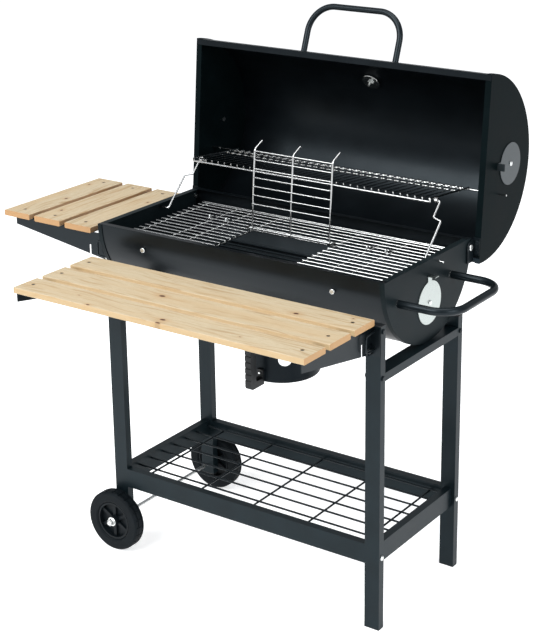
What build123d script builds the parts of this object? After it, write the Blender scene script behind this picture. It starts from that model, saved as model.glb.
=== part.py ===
from build123d import *
import math
import os

# Barrel charcoal grill on a wheeled stand, lid open, millimetres.
# X runs along the barrel (wheels at -X), Y from the cook's side to the back, Z up from the floor.
# While modelling, X = 0 and Y = 0 lie on the barrel's axis; export() centres the finished grill.

# ---- driving dimensions ----
SHEET = 1.5             # thickness of the bent sheet steel
FLANGE = 15             # width of the turned-in edges of bowl and lid
LIP = 11                # how far an end cap wraps over its shell
LIP_GAP = 0.2           # clearance between a cap's lip and its shell

RIM_Z = 850             # height of the bowl's rim
BOWL_R = 200
BOWL_HALF = 420         # half the bowl's length over its caps

LID_R = 230
LID_HALF = 441
LID_SHUT_Z = 848        # height of the lid's edge when it is shut
LID_OPEN = 95           # opening angle, degrees
PIVOT_Y = 190           # lid hinge
PIVOT_Z = 829

TUBE_W = 40             # leg and brace tube, along X
TUBE_D = 20
TUBE_WALL = 1.5
LEFT_LEG_X = -342       # centre lines of the legs
RIGHT_LEG_X = 417
FRONT_LEG_Y = -233
BACK_LEG_Y = 125
FRONT_LEG_TOP = 762
BACK_LEG_TOP = 676
LEFT_LEG_Z = 58         # lower end of the legs that carry the axle
FOOT = 3                # thickness of a plug's outer cap
BRACE_TOP = 648
RAIL_Z0 = 168
RAIL_H = 50
GRID_Z = 200            # height of the lower shelf's wires

WHEEL_R = 80
WHEEL_W = 34
AXLE_X = -345
AXLE_R = 5

GRATE_Z = 820           # centre height of the cooking bars
GRATE_HALF = 379
CUT_HALF = 124          # half width of the hatch in the cooking grate
HATCH_Y = 36            # hinge line of the hatch
GRATE_R = 2.1
GRATE_PITCH = 22
BACK_BARS_Y = (171, 180)
WELD = 0.6              # how deep crossing wires sink into each other
LOOP_R = 2              # wire of the grate's lifting loops
FLAP_HALF = 116         # half width of the hatch's flap
FLAP_LEN = 202
FLAP_LEAN = 5           # how far it leans back when open, degrees
FLAP_Z = GRATE_Z + 8
FLAP_ROD_R = 2.5
PRONG_R = 2.3
FLAP_BARS_Z = 63        # lowest cross wire, up the prongs
COAL_Z = 738            # centre height of the charcoal bars
COAL_R = 3
COAL_PITCH = 25

RACK_HALF = 355         # warming rack
RACK_WIRES = 36
STOP_X = 414            # collars on the rack's back rod
LEG_IN = 34             # the rack legs' distance inside the bowl's caps
LINK_DY = -154          # from the lid hinge to the rack leg pivot
LINK_DZ = 8
ARM_DY = 110            # from a lower pivot up to an upper one, lid open
ARM_DZ = 110

VENT_R = 53             # air vent discs
VENT_HOLES = 4
HALF_OPEN = -17         # how far the left lid vent is turned towards shut, degrees
BOWL_VENT_Z = 745
LID_VENT_V = 128        # lid vent centre, outward from the lid's edge

SLAT_T = 15
HINGE_OUT = 13          # shelf hinge pin, clear of what carries it
HINGE_DROP = 59         # shelf hinge pin, below the slats
FRONT_SHELF_Z = 780
SIDE_SHELF_Z = 820

POT_R = 95
POT_Z0 = 482
POT_TOP = 632
COLLAR_R = 97.5
ASH_HOLE_R = 62         # hole in the bowl's floor over the pot

RUN = 0.08              # radial clearance of a turning fit
HOLE = 0.25             # radial clearance of a bolt in its hole


# ---- helpers ----
def along(start, end):
    """A plane at start whose normal points to end, and the distance between them."""
    step = Vector(*end) - Vector(*start)
    return Plane(origin=start, z_dir=step), step.length


def rod(start, end, radius):
    """A straight round bar."""
    plane, length = along(start, end)
    return plane * Cylinder(radius, length, align=(Align.CENTER, Align.CENTER, Align.MIN))


def ring(start, end, outer, inner):
    """A straight round tube."""
    return rod(start, end, outer) - rod(start, end, inner)


def wire(points, radius, bend):
    """A round wire bent along points, with the same bend radius at each corner."""
    path = FilletPolyline(*points, radius=bend)
    return sweep(Plane(origin=path @ 0, z_dir=path % 0) * Circle(radius), path=path)


def block(x, y, z):
    """A box from its low and high ends on each axis."""
    size = [high - low for low, high in (x, y, z)]
    centre = [(low + high) / 2 for low, high in (x, y, z)]
    return Pos(*centre) * Box(*size)


def tube(x, y, z, axis):
    """A rectangular tube along one axis, open at both ends."""
    inner = [[low + TUBE_WALL, high - TUBE_WALL] for low, high in (x, y, z)]
    inner[axis] = [(x, y, z)[axis][0] - 1, (x, y, z)[axis][1] + 1]
    return block(x, y, z) - block(*inner)


def plate_yz(points, x, thickness):
    """A flat plate in the YZ plane from x to x + thickness."""
    face = make_face(Polyline(*[(0, y, z) for y, z in points], close=True))
    return Pos(x, 0, 0) * extrude(face, thickness, dir=(1, 0, 0))


def pipe(points, radius, wall, bend):
    """A bent round tube."""
    path = FilletPolyline(*points, radius=bend)
    section = Circle(radius) - Circle(radius - wall)
    return sweep(Plane(origin=path @ 0, z_dir=path % 0) * section, path=path)


def mirror_x(part):
    return mirror(part, about=Plane.YZ)


def group(parts):
    """Separate solids that share one node."""
    return Compound([solid for part in parts for solid in part.solids()])


def fused(parts):
    """One welded piece."""
    return Part() + list(parts)


def bolt(at, out, shank_r=3, head_r=6, head_h=3.5, grip=12):
    """A round-headed bolt: head outside the surface at `at`, shank `grip` deep."""
    out = Vector(*out).normalized()
    at = Vector(*at)
    head = rod(tuple(at), tuple(at + out * head_h), head_r)
    edges = head.edges().filter_by(GeomType.CIRCLE).sort_by(lambda e: (e.center() - at).dot(out))
    head = fillet(edges[-1], head_h * 0.55)
    return head + rod(tuple(at - out * grip), tuple(at + out * 0.5), shank_r)


def nut(at, out, across=10, height=5, bore=3):
    """A hexagon nut standing on the surface at `at`."""
    plane = Plane(origin=at, z_dir=out)
    body = plane * extrude(RegularPolygon(across / 2, 6, major_radius=False), height)
    return body - plane * Pos(0, 0, height / 2) * Cylinder(bore + HOLE, height + 2)


def shaft_hole(at, axis, radius, reach=6):
    """A cutter for a round hole centred at `at`."""
    axis = Vector(*axis).normalized() * reach
    return rod(tuple(Vector(*at) - axis), tuple(Vector(*at) + axis), radius)


# ---- the drum: bowl and lid share it. Its mouth looks up at z = 0 and its axis is X ----
def drum_shell(radius, half):
    """The bent sheet, with both long edges turned in."""
    length = 2 * (half - SHEET - 0.1)
    ring_face = Circle(radius) - Circle(radius - SHEET)
    face = ring_face & Pos(0, -radius) * Rectangle(3 * radius, 2 * radius)
    for side in (-1, 1):
        face += Pos(side * (radius - FLANGE / 2), -SHEET / 2) * Rectangle(FLANGE, SHEET)
    return Plane.YZ * Pos(0, 0, -length / 2) * extrude(face, length)


def drum_cap(radius, half):
    """The +X end: a half disc with a lip over the shell and a turned-in top edge."""
    outer = radius + LIP_GAP + SHEET
    lower = Pos(0, -radius) * Rectangle(3 * radius, 2 * radius)
    disc = extrude(Circle(outer) & lower, SHEET)
    lip = extrude((Circle(outer) - Circle(radius + LIP_GAP)) & lower, -LIP)
    top = Pos(0, -SHEET / 2, -FLANGE / 2) * Box(2 * (radius - FLANGE - 1), SHEET, FLANGE)
    return Plane.YZ * Pos(0, 0, half - SHEET) * (disc + lip + top)


def wedge_holes(x, count, inner, outer, half_angle):
    """Cutters for the bow-tie openings of a vent, about the X axis."""
    cutters = []
    for k in range(count):
        spread = math.radians(half_angle)
        low = (inner * math.cos(spread), inner * math.sin(spread))
        high = (outer * math.cos(spread), outer * math.sin(spread))
        sides = Polyline((high[0], -high[1]), (low[0], -low[1]), (low[0], low[1]), (high[0], high[1]))
        arc = ThreePointArc((high[0], high[1]), (outer, 0), (high[0], -high[1]))
        petal = extrude(make_face(sides + arc), 8)
        turn = Rot(360 / count * k + 90, 0, 0)
        cutters.append(Pos(x - 4, 0, 0) * turn * Plane.YZ * petal)
    return cutters


def cap_vent_holes(half):
    """Cutters for the openings in a cap behind its vent disc."""
    return wedge_holes(half, VENT_HOLES, 13, VENT_R - 6, 17)


def vent_disc(x, tab_angle):
    """A turning air disc on the outer face of a cap, with its bent finger tab."""
    disc = rod((x, 0, 0), (x + SHEET, 0, 0), VENT_R)
    disc -= shaft_hole((x, 0, 0), (1, 0, 0), RIVET_R + RUN)
    for petal in wedge_holes(x, VENT_HOLES, 11, VENT_R - 4.5, 20):
        disc -= petal
    neck = block((x, x + SHEET), (-9, 9), (VENT_R - 3, VENT_R + 14))
    finger = block((x, x + 20), (-9, 9), (VENT_R + 12.5, VENT_R + 14))
    return disc + Rot(tab_angle, 0, 0) * (neck + finger)


# ---- placing ----
BOWL = Pos(0, 0, RIM_Z)
TURN = math.radians(LID_OPEN)
LID_TILT = 90 - LID_OPEN
SHUT_TO_PIVOT = (-PIVOT_Y, LID_SHUT_Z - PIVOT_Z)
LID_Y = PIVOT_Y + SHUT_TO_PIVOT[0] * math.cos(TURN) + SHUT_TO_PIVOT[1] * math.sin(TURN)
LID_Z = PIVOT_Z - SHUT_TO_PIVOT[0] * math.sin(TURN) + SHUT_TO_PIVOT[1] * math.cos(TURN)
LID = Pos(0, LID_Y, LID_Z) * Rot(180 - LID_OPEN, 0, 0)
LEG_PIVOT = (PIVOT_Y + LINK_DY, PIVOT_Z + LINK_DZ)      # rack leg on the bowl
ROD_PIVOT = (PIVOT_Y + ARM_DY, PIVOT_Z + ARM_DZ)        # rack rod in the lid
EYE_PIVOT = (LEG_PIVOT[0] + ARM_DY, LEG_PIVOT[1] + ARM_DZ)

RIVET_R = 3
PIN_R = 3
HINGE_BOLT_R = 4
ROD_R = 2.5             # warming rack's rods and legs

BOWL_VENT = (0, BOWL_VENT_Z)
LID_VENT = (LID_Y + LID_VENT_V * math.sin(TURN), LID_Z + LID_VENT_V * math.cos(TURN))

FRONT_BOLT_X = 279      # bolts through the bowl's long sides that carry the grates
FRONT_BOLT_Z = 804
FRONT_BOLT_Y = math.sqrt(BOWL_R ** 2 - (RIM_Z - FRONT_BOLT_Z) ** 2)

PUSH_Y = (-143, 103)    # push handle on the right cap
PUSH_Z = 785
PUSH_OUT = 560.5
PUSH_R = 9.5
PUSH_BEND = 60

LID_HANDLE_R = 8
LID_HANDLE_BEND = 70

LID_HANDLE_X = 138
LID_HANDLE_LEAN = 15.3  # lid handle's feet, degrees behind the lid's top edge
LID_HANDLE_OUT = 354    # its grip, from the lid's axis
GAUGE_ANGLE = 48        # thermometer, degrees behind the lid's top edge

SADDLE_X = (LEFT_LEG_X, 403)
COLLAR_BOLT_X = (-87, 87)


def lid_point(degrees, radius, x=0):
    """A point on the lid, measured round its axis from the lid's top edge towards the back."""
    turn = math.radians(180 - LID_OPEN - degrees)
    return (x, LID_Y + radius * math.cos(turn), LID_Z + radius * math.sin(turn))


def lid_plane(degrees, radius, x=0):
    """A plane on the lid's skin, normal outward."""
    point = Vector(*lid_point(degrees, radius, x))
    axis = Vector(*lid_point(degrees, 0, x))
    return Plane(origin=point, x_dir=(1, 0, 0), z_dir=point - axis)


# ---- fire bowl ----
def bowl_shell():
    part = BOWL * drum_shell(BOWL_R, BOWL_HALF)
    part -= rod((0, 0, RIM_Z - BOWL_R - 5), (0, 0, RIM_Z - BOWL_R + 20), ASH_HOLE_R)
    for x in (-FRONT_BOLT_X, FRONT_BOLT_X):
        for y in (-FRONT_BOLT_Y, FRONT_BOLT_Y):
            part -= shaft_hole((x, y, FRONT_BOLT_Z), (0, 1, 0), 3 + HOLE)
    for x in SADDLE_X + COLLAR_BOLT_X:
        part -= shaft_hole((x, 0, RIM_Z - BOWL_R), (0, 0, 1), 3 + HOLE)
    return part


def bowl_cap():
    """The right cap, with the openings that both caps have."""
    part = BOWL * drum_cap(BOWL_R, BOWL_HALF)
    for petal in cap_vent_holes(BOWL_HALF):
        part -= Pos(0, *BOWL_VENT) * petal
    part -= shaft_hole((BOWL_HALF, *BOWL_VENT), (1, 0, 0), RIVET_R + HOLE)
    part -= shaft_hole((BOWL_HALF, PIVOT_Y, PIVOT_Z), (1, 0, 0), HINGE_BOLT_R + RUN, 3)
    part -= shaft_hole((BOWL_HALF, *LEG_PIVOT), (1, 0, 0), ROD_R + RUN)
    return part


def bowl_cap_right():
    part = bowl_cap()
    for y in PUSH_Y:
        part -= shaft_hole((BOWL_HALF, y, PUSH_Z), (1, 0, 0), 4 + HOLE)
    return part


def bowl_cap_left():
    part = mirror_x(bowl_cap())
    for y, z in side_clip_bolts():
        part -= shaft_hole((-BOWL_HALF, y, z), (1, 0, 0), 2.5 + HOLE)
    return part


def vent_rivets(half, vent):
    """The rivets that carry the two discs of the bowl, or of the lid."""
    right = bolt((half + SHEET + 0.6, *vent), (1, 0, 0), RIVET_R, 6, 3, 4.8)
    right += rod((half - SHEET - 2, *vent), (half - SHEET - 0.1, *vent), 6)
    return [right, mirror_x(right)]


def grate_hooks():
    """Four hooks inside the bowl that the cooking grate rests on."""
    hooks = []
    top = GRATE_Z - GRATE_R - 0.3
    for x in (-FRONT_BOLT_X, FRONT_BOLT_X):
        for side in (-1, 1):
            y = side * (FRONT_BOLT_Y - 7)
            upright = block((x - 9, x + 9), sorted((y, y - side * 2)), (792, top))
            ledge = block((x - 9, x + 9), sorted((y, y - side * 20)), (top - 2, top))
            hole = shaft_hole((x, y, FRONT_BOLT_Z), (0, 1, 0), 3 + HOLE)
            hooks.append(upright + ledge - hole)
    return group(hooks)


def grate_bolts():
    """Bolts through the bowl's long sides into the hooks."""
    bolts = []
    for x in (-FRONT_BOLT_X, FRONT_BOLT_X):
        for side in (-1, 1):
            at = (x, side * (FRONT_BOLT_Y + 3), FRONT_BOLT_Z)
            bolts.append(bolt(at, (0, side, 0), 3, 6.5, 4, 16))
    return bolts


def charcoal_grate():
    """Round bars on cross bars whose ends rest against the curved shell."""
    low = COAL_Z - 2 * COAL_R + 0.5
    reach = math.sqrt((BOWL_R - SHEET - 0.4) ** 2 - (RIM_Z - low + COAL_R) ** 2)
    bars = [rod((x, -reach, low), (x, reach, low), COAL_R) for x in (-300, 0, 300)]
    for k in range(-6, 7):
        bars.append(rod((-380, COAL_PITCH * k, COAL_Z), (380, COAL_PITCH * k, COAL_Z), COAL_R))
    return fused(bars)


def push_handle():
    y0, y1 = PUSH_Y
    start = BOWL_HALF + 2.5
    path = [(start, y0, PUSH_Z), (PUSH_OUT, y0, PUSH_Z), (PUSH_OUT, y1, PUSH_Z), (start, y1, PUSH_Z)]
    return pipe(path, PUSH_R, TUBE_WALL, PUSH_BEND)


def push_handle_bolts():
    """From inside the cap, with a washer between the cap and each tube end."""
    solids = []
    for y in PUSH_Y:
        solids.append(bolt((BOWL_HALF - SHEET, y, PUSH_Z), (-1, 0, 0), 4, 7, 3.5, 22))
        solids.append(ring((BOWL_HALF, y, PUSH_Z), (BOWL_HALF + 2.5, y, PUSH_Z), 8.5, 4 + HOLE))
    return solids


# ---- cooking grate with its hinged hatch ----
LOOP_X = (213, 266)     # lifting loops, over two of the grate's cross wires


def cooking_grate():
    """Bars along X on cross wires, cut out in front of the hatch."""
    pieces = []
    bars = [GRATE_PITCH * k for k in range(-8, 8)] + [*BACK_BARS_Y]
    cut = CUT_HALF - 1.3
    for y in bars:
        spans = [(-GRATE_HALF, GRATE_HALF)]
        if y < HATCH_Y:
            spans = [(-GRATE_HALF, -cut), (cut, GRATE_HALF)]
        pieces += [rod((a, y, GRATE_Z), (b, y, GRATE_Z), GRATE_R) for a, b in spans]
    low = GRATE_Z - 2 * GRATE_R + WELD
    for x in (CUT_HALF, *LOOP_X, 364):
        for side in (-1, 1):
            pieces.append(rod((side * x, bars[0] - 3, low), (side * x, bars[-1] + 3, low), GRATE_R))
    return fused(pieces)


def grate_fittings():
    """The hatch's rod between two posts, and four lifting loops, all on top of the grate."""
    top = GRATE_Z + GRATE_R + LOOP_R + 0.05
    end = CUT_HALF + 6
    hatch_rod = rod((-end, HATCH_Y, FLAP_Z), (end, HATCH_Y, FLAP_Z), FLAP_ROD_R)
    pieces = []
    for side in (-1, 1):
        post = sorted((side * (CUT_HALF + 1), side * (CUT_HALF + 5)))
        hatch_rod += block(post, (HATCH_Y - 4, HATCH_Y + 10.5), (GRATE_Z + GRATE_R + 0.05, FLAP_Z + 3))
        for x in LOOP_X:
            loop = [(side * x, 42, top), (side * x, 53, top), (side * x, 58, top + 13),
                    (side * x, 63, top), (side * x, 90, top)]
            pieces.append(wire(loop, LOOP_R, 2.6))
    return group(pieces + [hatch_rod])


def grate_flap():
    """Three prongs bent back at the top, tied by cross wires, turning on the hatch's rod."""
    pieces = []
    for x in (-FLAP_HALF, 0, FLAP_HALF):
        prong = [(x, 0, FLAP_ROD_R + 2), (x, 0, FLAP_LEN), (x, 30, FLAP_LEN + 18)]
        pieces.append(wire(prong, PRONG_R, 12))
        pieces.append(ring((x - 3.5, 0, 0), (x + 3.5, 0, 0), FLAP_ROD_R + 2.7, FLAP_ROD_R + RUN))
    for k in range(7):
        z = FLAP_BARS_Z + 22.5 * k
        pieces.append(rod((-FLAP_HALF, -PRONG_R, z), (FLAP_HALF, -PRONG_R, z), 1.8))
    return Pos(0, HATCH_Y, FLAP_Z) * Rot(-FLAP_LEAN, 0, 0) * fused(pieces)


# ---- lid ----
def lid_shell():
    part = LID * drum_shell(LID_R, LID_HALF)
    for x in (-LID_HANDLE_X, LID_HANDLE_X):
        part -= lid_plane(LID_HANDLE_LEAN, LID_R, x) * Cylinder(3 + HOLE, 12)
    part -= lid_plane(GAUGE_ANGLE, LID_R, GAUGE_X) * Cylinder(5 + HOLE, 12)
    return part


def lid_cap():
    """The right cap, with the vent, the rack rod's hole and the hinge plate's holes."""
    part = LID * drum_cap(LID_R, LID_HALF)
    for petal in cap_vent_holes(LID_HALF):
        part -= Pos(0, *LID_VENT) * Rot(LID_TILT, 0, 0) * petal
    part -= shaft_hole((LID_HALF, *LID_VENT), (1, 0, 0), RIVET_R + HOLE)
    part -= shaft_hole((LID_HALF, *ROD_PIVOT), (1, 0, 0), ROD_R + RUN)
    for z in HINGE_SCREW_Z:
        plane = Plane(origin=hinge_screw(z), z_dir=MOUTH_NORMAL)
        part -= plane * Cylinder(2.5 + HOLE, 8)
    return part


# The lid's edge is flat; its normal points at the cook when the lid is open.
MOUTH_NORMAL = (0, -math.sin(TURN), -math.cos(TURN))
HINGE_SCREW_Z = (815, 838)


def mouth_y(z):
    """Where the lid's edge plane lies at height z."""
    return LID_Y + (z - LID_Z) * math.cos(TURN) / math.sin(TURN) * -1


def hinge_screw(z, x=LID_HALF - 8):
    return (x, mouth_y(z), z)


def hinge_plate():
    """Right hinge: a strap on the bowl cap's pivot, bent out over the lid's end flange."""
    x0, x1 = BOWL_HALF + 1.2, BOWL_HALF + 4.2
    low, high = PIVOT_Z - 39, PIVOT_Z + 21
    back = [(mouth_y(z) - 0.3, z) for z in (high, low)]
    front = [(PIVOT_Y - 12, low), (PIVOT_Y - 14, PIVOT_Z), (PIVOT_Y, high - 7)]
    strap = plate_yz(front + back, x0, x1 - x0)
    strap += rod((x0, PIVOT_Y, PIVOT_Z), (x1, PIVOT_Y, PIVOT_Z), 14)
    foot_low = PIVOT_Z - 23
    foot = plate_yz([(mouth_y(foot_low) - 0.3, foot_low), (mouth_y(foot_low) - 3.3, foot_low),
                     (mouth_y(high) - 3.3, high), (mouth_y(high) - 0.3, high)],
                    x0, LID_HALF - 1 - x0)
    part = strap + foot
    part -= shaft_hole((x0, PIVOT_Y, PIVOT_Z), (1, 0, 0), HINGE_BOLT_R + RUN)
    for z in HINGE_SCREW_Z:
        plane = Plane(origin=hinge_screw(z), z_dir=MOUTH_NORMAL)
        part -= plane * Cylinder(2.5 + HOLE, 14)
    return part


def hinge_pins():
    """A shouldered bolt and nut on each side; they stay with the bowl."""
    head = bolt((BOWL_HALF + 4.6, PIVOT_Y, PIVOT_Z), (1, 0, 0), HINGE_BOLT_R, 8, 4, 12)
    end = nut((BOWL_HALF - SHEET - 0.3, PIVOT_Y, PIVOT_Z), (-1, 0, 0), 11, 5, HINGE_BOLT_R)
    return group([head, end, mirror_x(head), mirror_x(end)])


def hinge_screws():
    solids = []
    for z in HINGE_SCREW_Z:
        at = Vector(*hinge_screw(z)) + Vector(*MOUTH_NORMAL) * 3.3
        screw = bolt(tuple(at), MOUTH_NORMAL, 2.5, 5, 2.5, 7)
        solids += [screw, mirror_x(screw)]
    return solids


def lid_handle():
    """A bent tube standing square to the lid's skin, its feet cut to the curve."""
    ends = ((-LID_HANDLE_X, LID_R - 10), (-LID_HANDLE_X, LID_HANDLE_OUT),
            (LID_HANDLE_X, LID_HANDLE_OUT), (LID_HANDLE_X, LID_R - 10))
    path = [lid_point(LID_HANDLE_LEAN, radius, x) for x, radius in ends]
    drum = rod((-LID_HALF, LID_Y, LID_Z), (LID_HALF, LID_Y, LID_Z), LID_R + 0.1)
    return pipe(path, LID_HANDLE_R, TUBE_WALL, LID_HANDLE_BEND) - drum


def lid_handle_bolts():
    solids = []
    for x in (-LID_HANDLE_X, LID_HANDLE_X):
        inside = lid_plane(LID_HANDLE_LEAN, LID_R - SHEET - 0.4, x)
        solids.append(bolt(tuple(inside.origin), tuple(-inside.z_dir), 3, 7, 3.5, SHEET + 5))
    return solids


GAUGE_X = 6
GAUGE_R = 30
GAUGE_H = 14


def thermometer():
    """Case, dial, glass and needle outside the lid; stem, plate and nut through it."""
    place = lid_plane(GAUGE_ANGLE, LID_R + 1.2, GAUGE_X)
    on_base = (Align.CENTER, Align.CENTER, Align.MIN)
    case = fillet(Cylinder(GAUGE_R, GAUGE_H, align=on_base).edges().filter_by(GeomType.CIRCLE), 2.5)
    case -= Pos(0, 0, 3) * Cylinder(GAUGE_R - 4, GAUGE_H, align=on_base)
    case -= Pos(0, 0, 2) * Cylinder(1 + RUN, 4, align=on_base)
    dial = Pos(0, 0, 3.6) * (Cylinder(GAUGE_R - 4.3, 1) - Cylinder(1 + RUN, 3))
    glass = Pos(0, 0, GAUGE_H - 2.6) * Cylinder(GAUGE_R - 4.3, 1.6)
    needle = Pos(0, 0, 5.4) * Cylinder(3, 1.6) + Pos(0, 0, 4) * Cylinder(1, 3.4)
    needle += Pos(0, 9, 5.6) * Box(1.6, 24, 0.8) + Pos(0, -5, 5.6) * Box(3.2, 8, 0.8)
    stem = Pos(0, 0, -8.7) * Cylinder(5, 16) + Pos(0, 0, -20) * Cylinder(3, 10)
    plate = fillet(Cylinder(25, 5.6).edges().filter_by(GeomType.CIRCLE), 2.2)
    plate = Pos(0, 0, -7) * (plate - Cylinder(5 + HOLE, 8))
    lock = Pos(0, 0, -14) * extrude(RegularPolygon(7.5, 6, major_radius=False), 4)
    lock -= Pos(0, 0, -12) * Cylinder(5 + HOLE, 8)
    return {
        "thermometer_case": place * case,
        "thermometer_dial": place * dial,
        "thermometer_glass": place * glass,
        "thermometer_needle": place * needle,
        "thermometer_stem": group([place * stem, place * plate, place * lock]),
    }


# ---- warming rack ----
def warming_rack():
    """Cross wires bent over a front rod; the back rod runs through the lid's caps."""
    rod_y, rod_z = ROD_PIVOT
    front_y, front_z = EYE_PIVOT[0] - 37, EYE_PIVOT[1] + 6
    nose = (front_y, front_z)
    top = (front_y - 1, front_z + 8)
    tail = (rod_y + 3, rod_z + 3.6)
    slope = (tail[1] - top[1]) / (tail[0] - top[0])
    pieces = [rod((-LID_HALF - 20, rod_y, rod_z), (LID_HALF + 20, rod_y, rod_z), ROD_R)]
    for x in (-STOP_X, STOP_X):
        pieces.append(rod((x - 2, rod_y, rod_z), (x + 2, rod_y, rod_z), ROD_R + 2))
    for back in (12, 45):
        z = top[1] + slope * (rod_y - back - top[0]) - 3.2
        pieces.append(rod((-RACK_HALF, rod_y - back, z), (RACK_HALF, rod_y - back, z), 2))
    pieces.append(rod((-RACK_HALF, front_y, front_z), (RACK_HALF, front_y, front_z), ROD_R))
    for k in range(RACK_WIRES):
        x = RACK_HALF * (2 * k / (RACK_WIRES - 1) - 1)
        radius = ROD_R if k in (0, RACK_WIRES - 1) else 1.5
        pieces += [rod((x, *top), (x, *tail), radius), rod((x, *nose), (x, *top), radius)]
    return fused(pieces + [rack_eye(-1), rack_eye(1)])


def rack_eye(side):
    """The ring under each end of the rack that a leg hooks into."""
    y, z = EYE_PIVOT
    x = sorted((side * (RACK_HALF - 3), side * (RACK_HALF + 2)))
    loop = ring((x[0], y, z), (x[1], y, z), ROD_R + 4, ROD_R + 1)
    return loop + block(x, (y - 2, y + 2), (z + ROD_R + 2.5, z + ROD_R + 9))


def rack_leg(side):
    """A bent wire from the bowl cap up to the rack's eye."""
    y, z = LEG_PIVOT
    inside = side * (BOWL_HALF - LEG_IN)
    outside = side * (BOWL_HALF + 16)
    knee = side * (RACK_HALF + 8)
    lower = (y + ARM_DY * 0.66, z + ARM_DZ * 0.66)
    upper = (y + ARM_DY * 0.71, z + ARM_DZ * 0.71)
    path = [(outside, y, z), (inside, y, z), (inside, *lower), (knee, *upper),
            (knee, *EYE_PIVOT), (side * (RACK_HALF - 8), *EYE_PIVOT)]
    return wire(path, ROD_R, 5)


# ---- stand ----
RAIL_BOLT_Z = RAIL_Z0 + 20


def upper_bolt_heights(y):
    """The brace and, in front, a second bolt near the top."""
    return [BRACE_TOP - 10, FRONT_LEG_TOP - 12] if y < 0 else [BRACE_TOP - 10]


def leg(x, y, bottom, top):
    half = TUBE_D / 2
    part = tube((x - TUBE_W / 2, x + TUBE_W / 2), (y - half, y + half), (bottom, top), 2)
    for z in [RAIL_BOLT_Z] + upper_bolt_heights(y):
        part -= shaft_hole((x, y, z), (1, 0, 0), 3 + HOLE, 30)
    if x < 0:
        part -= shaft_hole((AXLE_X, y, WHEEL_R), (0, 1, 0), AXLE_R + HOLE, 20)
    for bolt_x, bolt_z in [place for places in FRONT_CLIP_BOLTS for place in places]:
        if y < 0 and abs(bolt_x - x) < TUBE_W / 2:
            at = (bolt_x, y - TUBE_D / 2, FRONT_PIN[2] + bolt_z)
            part -= shaft_hole(at, (0, 1, 0), 2.5 + HOLE, 5)
    return part


def legs():
    made = {}
    for side, x, bottom in (("left", LEFT_LEG_X, LEFT_LEG_Z), ("right", RIGHT_LEG_X, FOOT)):
        made["leg_front_" + side] = leg(x, FRONT_LEG_Y, bottom, FRONT_LEG_TOP)
        made["leg_back_" + side] = leg(x, BACK_LEG_Y, bottom, BACK_LEG_TOP)
    return made


def tube_plug(x, y, z, up):
    """A moulded plug: a domed cap outside and a block inside the tube."""
    cap = block((x - TUBE_W / 2, x + TUBE_W / 2), (y - TUBE_D / 2, y + TUBE_D / 2), sorted((z, z + FOOT * up)))
    inset = TUBE_WALL + 0.2
    stem = block((x - TUBE_W / 2 + inset, x + TUBE_W / 2 - inset),
                 (y - TUBE_D / 2 + inset, y + TUBE_D / 2 - inset), sorted((z, z - 6 * up)))
    rim = cap.edges().group_by(Axis.Z)[-1 if up > 0 else 0]
    return chamfer(rim, 1) + stem


def leg_plugs():
    """Moulded ends of all four legs; the right legs stand on theirs."""
    plugs = []
    for x in (LEFT_LEG_X, RIGHT_LEG_X):
        plugs.append(tube_plug(x, FRONT_LEG_Y, FRONT_LEG_TOP, 1))
        plugs.append(tube_plug(x, BACK_LEG_Y, BACK_LEG_TOP, 1))
    for y in (FRONT_LEG_Y, BACK_LEG_Y):
        plugs.append(tube_plug(LEFT_LEG_X, y, LEFT_LEG_Z, -1))
        plugs.append(tube_plug(RIGHT_LEG_X, y, FOOT, -1))
    return group(plugs)


FRAME_Y = (FRONT_LEG_Y + TUBE_D / 2, BACK_LEG_Y - TUBE_D / 2)
FRAME_X = (LEFT_LEG_X + TUBE_W / 2, RIGHT_LEG_X - TUBE_W / 2)


def brace(x):
    """An upper cross tube between two legs; the barrel sits on it."""
    part = tube((x - TUBE_W / 2, x + TUBE_W / 2), FRAME_Y, (BRACE_TOP - TUBE_D, BRACE_TOP), 1)
    saddle = SADDLE_X[0] if x < 0 else SADDLE_X[1]
    return part - shaft_hole((saddle, 0, BRACE_TOP), (0, 0, 1), 3 + HOLE, 4)


def saddle_bolts():
    """Through the bowl's floor into each brace, with a spacer between them."""
    solids = []
    floor_z = RIM_Z - BOWL_R
    for x in SADDLE_X:
        solids.append(bolt((x, 0, floor_z + SHEET + 0.4), (0, 0, 1), 3, 6, 3.5, 12))
        solids.append(ring((x, 0, BRACE_TOP), (x, 0, floor_z - 0.1), 4.4, 3 + HOLE))
    return solids


GRID_XS = [46 + 162 * k for k in range(-2, 3)]
GRID_YS = [-182 + 48 * k for k in range(7)]
GRID_R = 2.5


def long_rail(y):
    """A front or back rail, with holes for the grid's cross wires."""
    part = tube(FRAME_X, (y - TUBE_D / 2, y + TUBE_D / 2), (RAIL_Z0, RAIL_Z0 + RAIL_H), 0)
    inner = y + TUBE_D / 2 if y < 0 else y - TUBE_D / 2
    for x in GRID_XS:
        part -= shaft_hole((x, inner, GRID_Z), (0, 1, 0), GRID_R + HOLE, 5)
    return part


def side_rails():
    rails = []
    for x in (LEFT_LEG_X, RIGHT_LEG_X):
        span = (x - TUBE_D / 2, x + TUBE_D / 2)
        rails.append(tube(span, FRAME_Y, (RAIL_Z0, RAIL_Z0 + RAIL_H), 1))
    return group(rails)


def lower_grid():
    ends = (FRAME_Y[0] - 5, FRAME_Y[1] + 5)
    wires = [rod((x, ends[0], GRID_Z), (x, ends[1], GRID_Z), GRID_R) for x in GRID_XS]
    z = GRID_Z + 2 * GRID_R - 0.6
    half = TUBE_D / 2 + 1
    for y in GRID_YS:
        wires.append(rod((LEFT_LEG_X + half, y, z), (RIGHT_LEG_X - half, y, z), GRID_R))
    return fused(wires)


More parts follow.
